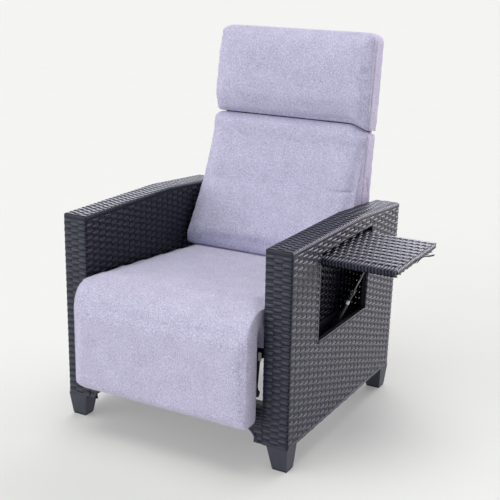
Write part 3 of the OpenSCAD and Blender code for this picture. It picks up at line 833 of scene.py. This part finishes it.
def on_surface(obj, path, lift, step=0.006):
    """A path's points moved to the nearest place on a mesh, lifted off it, with the normals there."""
    path = np.asarray(path, float)
    line, length = along(path)
    dense = line(np.linspace(0, 1, max(4, int(length / step))))
    tree = BVHTree.FromObject(obj, bpy.context.evaluated_depsgraph_get())
    points, outward = [], []
    for p in dense:
        where, normal, _, _ = tree.find_nearest(Vector(p))
        points.append(np.array(where + normal * lift))
        outward.append(np.array(normal))
    return np.array(points), np.array(outward)


def seam(obj, path, name, half_width=0.0013, thickness=0.0016):
    """A thin sewn ridge along a path on a cushion."""
    points, outward = on_surface(obj, path, 0.0002)
    strips = Strips()
    strips.add(points, outward, half_width, thickness)
    return strips.finish(name, FABRIC)


def seat_profile(inset):
    """Outline of the seat and leg cushion in (y, z), drawn in by inset at its outer faces."""
    seat_lo, seat_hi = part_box("seat_cushion")
    leg_lo, leg_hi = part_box("leg_cushion")
    front = leg_lo.y + inset
    low = leg_lo.z + inset
    top = pole.z + NOSE_RISE - inset
    reach = pole.y - front
    outline = [(leg_hi.y - 0.001, low + 0.014), (leg_hi.y - 0.012, low), (front + 0.018, low), (front, low + 0.020)]
    for t in np.linspace(0, math.pi / 2, 9):
        outline.append((pole.y - reach * math.cos(t), pole.z + (top - pole.z) * math.sin(t)))
    rise = math.tan(SEAT_SLOPE)
    seat_top_front = top - 0.001
    depth = seat_hi.y - inset - pole.y
    outline += [(pole.y + 0.05, seat_top_front - 0.05 * rise * 0.7),
                (seat_hi.y - inset - 0.012, seat_top_front - depth * rise),
                (seat_hi.y - inset, seat_top_front - depth * rise - 0.012)]
    bottom_rear = seat_lo.z + 0.001
    outline += [(seat_hi.y - 0.010, bottom_rear + 0.006), (seat_hi.y - 0.018, bottom_rear)]
    gap = pole.y + 0.026
    front_low = bottom_rear + (seat_hi.y - 0.010 - gap) * rise
    outline += [(gap, front_low), (gap, pole.z)]
    for t in np.linspace(20, 160, 6):
        turn = math.radians(t)
        outline.append((pole.y + 0.004 + 0.0155 * math.cos(turn), pole.z + 0.0155 * math.sin(turn)))
    outline.append((leg_hi.y - 0.001, pole.z - 0.004))
    return outline


def seat_and_leg_cushion():
    """One long cushion that rolls over the seat's front edge and hangs down in front of the footrest."""
    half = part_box("seat_cushion")[1].x
    leg_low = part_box("leg_cushion")[0].z
    inset, side_inset = 0.005, 0.004
    made = solid_from_outline("seat_leg_cushion", seat_profile(inset), half - side_inset)
    remeshed(made, 0.0075)
    set_coordinates(made, corners_rounded(coordinates(made), 0, 2, half - side_inset, leg_low + inset, 0.028))
    smoothed(made, 5)
    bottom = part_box("seat_cushion")[0].z

    def cap(points):
        y, z = points[:, 1], points[:, 2]
        under = (y > pole.y + 0.02) & (z < bottom + 0.012 + (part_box("seat_cushion")[1].y - y) * math.tan(SEAT_SLOPE))
        gap = distance_to_path(points[:, 1:], np.array([(pole.y + 0.012, 0.30), (pole.y + 0.004, pole.z + 0.002),
                                                        (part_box("leg_cushion")[1].y + 0.006, 0.13)]))
        free = ease(gap, 0.016, 0.045) * np.where(under, 0.1, 1.0)
        side = ease(np.abs(points[:, 0]), half - 0.03, half - 0.006)
        return free * (SEAT_LOFT - 0.007 * side) + 0.0003

    inflated(made, cap)
    smoothed(made, 2)
    points = coordinates(made)
    points[:, 0] *= 1 + (WIDER + BULGE * ease(FRONT + 0.004 - points[:, 1], 0, 0.03)) / half
    behind = points[:, 1] - pole.y
    over_links = ease(behind, 0.01, 0.035) * (1 - ease(behind, 0.12, 0.15))
    points[:, 2] += HOLLOW * over_links * (1 - ease(points[:, 2], bottom + 0.03, bottom + 0.07))
    set_coordinates(made, points)
    subdivided(made)
    return made


def to_back(points):
    """Places across, in front of (minus) and up along the back, from points of the frame."""
    x, y, z = points.T
    c, s = math.cos(BACK_LEAN), math.sin(BACK_LEAN)
    y, z = y - back_pivot.y, z - back_pivot.z
    return np.stack([x, y * c - z * s, y * s + z * c], -1)


def back_cushion(name, node, corner, shape):
    """A cushion on the back: its CAD solid with rounded upper corners and its own shape, filled out in front."""
    made = bpy.data.objects.new(name, NODES[node].data.copy())
    bpy.context.scene.collection.objects.link(made)
    made.data.materials.clear()
    made.data.materials.append(FABRIC)
    remeshed(made, 0.006)
    local = to_back(coordinates(made))
    local[:, 1] += 0.004 * ease(-local[:, 1], 0.016, 0.045)
    local = corners_rounded(local, 0, 2, np.abs(local[:, 0]).max(), local[:, 2].max(), corner)
    set_coordinates(made, from_back(shape(local)))
    smoothed(made, 5)

    def cap(points):
        at = to_back(points)
        ahead = ease(-at[:, 1], 0.022, 0.06)
        side = ease(np.abs(at[:, 0]), 0.225, 0.252)
        return 0.0006 + ahead * (BACK_LOFT - 0.0105 * side)

    inflated(made, cap)
    smoothed(made, 2)
    subdivided(made)
    return made


seat_cushion = seat_and_leg_cushion()
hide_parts("seat_cushion", "cushion_nose", "leg_cushion")


def seat_edge(hand):
    """The sewn line round one side of the seat and leg cushion's outer face."""
    seat_hi, leg_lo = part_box("seat_cushion")[1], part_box("leg_cushion")[0]
    x, reach, rear = hand * (seat_hi.x + 0.008), pole.y - leg_lo.y, seat_hi.y - 0.03
    top = NOSE_RISE + 0.001
    points = [(x, leg_lo.y, leg_lo.z + 0.030), (x, leg_lo.y, pole.z)]
    for t in np.linspace(0.2, math.pi / 2, 6):
        points.append((x, pole.y - reach * math.cos(t), pole.z + top * math.sin(t)))
    points.append((x, rear, pole.z + top - (rear - pole.y) * math.tan(SEAT_SLOPE)))
    return np.array(points)


for hand, name in ((-1, "seat_seam_left"), (1, "seat_seam_right")):
    pressed_seam(seat_cushion, seat_edge(hand), 0.0016, 0.004)
    edge = seam(seat_cushion, seat_edge(hand), name)
    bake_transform(edge)
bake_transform(seat_cushion)


def crease_drop(local):
    """How far the crease between the two back cushions bends down towards the chair's right side."""
    return 0.018 * ease(local[:, 0], 0.19, 0.256)


def lumbar_shape(local):
    """Wider towards the seat, with the crease's bend along the top."""
    at = local.copy()
    low, high = at[:, 2].min(), at[:, 2].max()
    at[:, 0] *= 1 + 0.022 * ease(high - at[:, 2], 0.05, high - low)
    at[:, 2] -= crease_drop(at) * ease(at[:, 2], high - 0.09, high)
    return at


def head_shape(local):
    """A little narrower towards the top, with the crease's bend along the bottom."""
    at = local.copy()
    low, high = at[:, 2].min(), at[:, 2].max()
    at[:, 0] *= 1 - 0.014 * ease(at[:, 2], low + 0.04, high)
    at[:, 2] -= crease_drop(at) * ease(-at[:, 2], -low - 0.09, -low)
    return at


def on_back(*points):
    """A path on the back cushions, from points across, in front of and up along the back."""
    return from_back(np.array(points))


# sewn lines and folds pressed into the back cushions
SIDE_SEAM = [on_back((hand * 0.262, -0.058, 0.075), (hand * 0.262, -0.052, 0.25), (hand * 0.262, -0.046, 0.44))
             for hand in (-1, 1)]
HEAD_SEAM = [on_back((hand * 0.262, -0.044, 0.46), (hand * 0.262, -0.050, 0.56), (hand * 0.256, -0.046, 0.695))
             for hand in (-1, 1)]
LUMBAR_FOLDS = [on_back((0.165, -0.108, 0.262), (0.205, -0.104, 0.258), (0.246, -0.094, 0.262)),
                on_back((0.262, -0.040, 0.300), (0.262, -0.016, 0.296)),
                on_back((0.262, -0.026, 0.292), (0.262, -0.012, 0.262)),
                on_back((-0.256, -0.074, 0.385), (-0.236, -0.084, 0.350)),
                on_back((-0.258, -0.080, 0.345), (-0.244, -0.090, 0.315))]

lumbar = back_cushion("lumbar_cushion", "back_cushion", 0.020, lumbar_shape)
head = back_cushion("headrest_cushion", "head_cushion", 0.028, head_shape)
for cushion, node, seams in ((lumbar, "back_cushion", SIDE_SEAM), (head, "head_cushion", HEAD_SEAM)):
    for path in seams:
        pressed_seam(cushion, path, 0.0022, 0.005)
    place(cushion, "backrest", "cushion_fabric", node)
for path in LUMBAR_FOLDS:
    pressed_seam(lumbar, path, 0.0028, 0.0045)
for cushion, name, seams in ((lumbar, "lumbar_seam", SIDE_SEAM), (head, "headrest_seam", HEAD_SEAM)):
    for hand, path in zip(("left", "right"), seams):
        place(seam(cushion, path, f"{name}_{hand}"), "backrest", "cushion_fabric")


# ---- pull tab ----

def pull_strap():
    """A strip of webbing that curls out from the side table's edge, with a folded end; its stitching is not drawn."""
    lo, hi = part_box("pull_tab")
    turn = Vector(JOINTS["tab_swing"]["pos_m"])
    path, _ = along(np.array([(-0.003, -0.0035), (-0.001, -0.0005), (0.004, 0.0075), (0.009, 0.0125),
                              (0.018, 0.0165), (0.030, 0.0190), (0.0395, 0.0225)]))
    count, folded = 40, 12
    flat = path(np.linspace(0, 1, count))
    centres = np.stack([turn.x + flat[:, 0], np.full(count, (lo.y + hi.y) / 2), turn.z + flat[:, 1]], -1)
    tangents = np.gradient(centres, axis=0)
    up = unit(np.cross(np.tile([[0, -1.0, 0]], (count, 1)), tangents))
    up *= np.sign(up[:, 2:])
    strap = Strips()
    strap.add(centres, up, 0.007, 0.0016)
    strap.add(centres[-folded:] + up[-folded:] * 0.0014, up[-folded:], 0.0068, 0.0012)
    return strap.finish("pull_strap", WEBBING)


place(pull_strap(), "tab", "webbing", "pull_tab")


# ---- CAD nodes that are shown as they are ----

def dress(name, material, bevel=0.0):
    node = NODES[name]
    node.data.materials.clear()
    node.data.materials.append(material)
    if bevel:
        change = node.modifiers.new("bevel", "BEVEL")
        change.width, change.segments, change.limit_method = bevel, 3, "ANGLE"
        change.angle_limit = math.radians(35)
        change.harden_normals = True


SLOT_MATERIALS = {"rubber": RUBBER, "webbing": WEBBING, "white_label": LABEL, "footrest_board": BOARD,
                  "bright_steel": ZINC, "black_frame": BLACK}
for part in frame["record"]["subparts"]:
    if part["material_slot"] in SLOT_MATERIALS:
        dress(part["node"], SLOT_MATERIALS[part["material_slot"]], 0.0004)
for end in ("front", "rear"):
    for hand in ("left", "right"):
        dress(f"foot_{end}_{hand}", FOOT, 0.003)


# ---- floor, light and camera ----

def glow(tree, towards, flat, narrow, wide, colour, strength):
    """Light from a patch of the surroundings, flattened in height by flat, as a colour.

    It is at full strength up to narrow degrees from its middle, and fades out at wide degrees.
    """
    seen = add(tree, "TexCoord").outputs["Generated"]
    squeezed = add(tree, "VectorMath", {"operation": "NORMALIZE"},
                   Vector=stretched(tree, seen, (1, 1, flat))).outputs["Vector"]
    aim = Vector((towards[0], towards[1], towards[2] * flat)).normalized()
    near = add(tree, "VectorMath", {"operation": "DOT_PRODUCT"}, i0=squeezed, i1=aim).outputs["Value"]
    lit = add(tree, "MapRange", {"interpolation_type": "SMOOTHSTEP"}, Value=near,
              From_Min=math.cos(math.radians(wide)), From_Max=math.cos(math.radians(narrow)),
              To_Min=0.0, To_Max=strength).outputs["Result"]
    return add(tree, "VectorMath", {"operation": "SCALE"}, Vector=colour, Scale=lit).outputs["Vector"]


def studio():
    """A wide pale floor under soft boxes: overhead, two in front and two behind."""
    reach = 60
    floor = new_object("floor", [(-reach, -reach, 0), (reach, -reach, 0), (reach, reach, 0), (-reach, reach, 0)],
                       [[0, 1, 2, 3]], floor_material())
    world = bpy.data.worlds.new("studio")
    bpy.context.scene.world = world
    world.use_nodes = True
    tree = world.node_tree
    total = glow(tree, (0, 0, 1), 1.0, 90, 180, (1.0, 1.0, 1.0), 0.06)
    for patch in (((-0.05, -0.05, 1.0), 1.0, 5, 30, (0.99, 1.01, 0.99), 4.5),
                  ((0.10, -0.95, 0.20), 1.5, 15, 50, (0.6, 0.9, 1.3), 0.5),
                  ((-0.60, -0.75, 0.25), 1.5, 15, 50, (1.02, 0.98, 1.0), 2.1),
                  ((0.55, 0.83, 0.10), 2.5, 15, 45, (1.06, 0.94, 1.06), 5.0),
                  ((-0.20, 0.95, 0.22), 1.5, 15, 50, (0.98, 0.98, 1.08), 4.1)):
        total = add(tree, "VectorMath", {"operation": "ADD"}, i0=total, i1=glow(tree, *patch)).outputs["Vector"]
    tree.links.new(total, tree.nodes["Background"].inputs["Color"])


def camera():
    azimuth, elevation, roll = (math.radians(a) for a in (29.0, 16.7, 1.01))
    back = Vector((math.sin(azimuth) * math.cos(elevation), -math.cos(azimuth) * math.cos(elevation),
                   math.sin(elevation)))
    right = (-back).cross(Vector((0, 0, 1))).normalized()
    up = right.cross(-back)
    tilted_right = math.cos(roll) * right + math.sin(roll) * up
    tilted_up = -math.sin(roll) * right + math.cos(roll) * up
    data = bpy.data.cameras.new("camera")
    data.sensor_width, data.lens = 36.0, 74.52
    made = bpy.data.objects.new("camera", data)
    made.matrix_world = Matrix((tilted_right, tilted_up, back)).transposed().to_4x4()
    made.location = (1.40689, -2.47028, 1.31031)
    bpy.context.scene.collection.objects.link(made)
    bpy.context.scene.camera = made


studio()
camera()
bpy.context.scene.view_settings.view_transform = "Standard"
